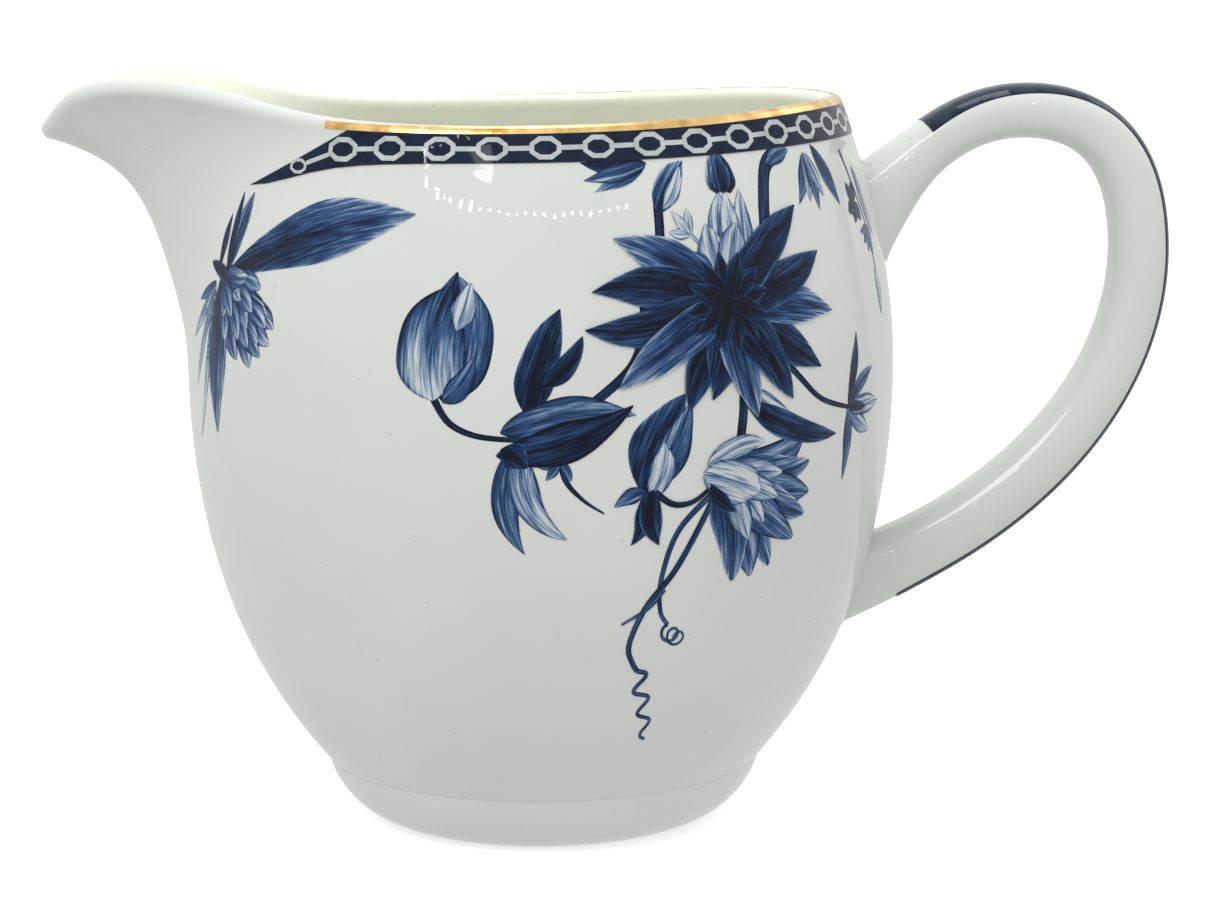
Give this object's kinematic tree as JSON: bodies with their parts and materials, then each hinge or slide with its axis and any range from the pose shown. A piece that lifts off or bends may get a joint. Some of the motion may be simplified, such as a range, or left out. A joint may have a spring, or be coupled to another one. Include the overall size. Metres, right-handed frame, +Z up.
{
  "type": "cream jug",
  "caption": "Glazed porcelain cream jug with an ovoid body on a foot ring, a curled pouring spout and an ear-shaped loop handle.",
  "frame": {"origin": "centre of the foot ring, on the plane that it stands on", "axes": "+Z up along the body's axis; -X towards the spout; +X towards the handle; Y = 0 is the mirror plane"},
  "size_m": [0.1375, 0.086, 0.0912],
  "materials": {
    "glazed_porcelain": "gloss glaze",
    "gilding": "burnished gold line, fired on",
    "blue_transfer": "dark blue transfer under gloss glaze"
  },
  "bodies": {
    "root": {"jug_body": "glazed_porcelain", "handle": "glazed_porcelain", "slip_joint_upper": "glazed_porcelain", "slip_joint_lower": "glazed_porcelain", "gilt_rim_line": "gilding", "rim_border_band": "blue_transfer", "handle_stripe": "blue_transfer"}
  },
  "joints": []
}
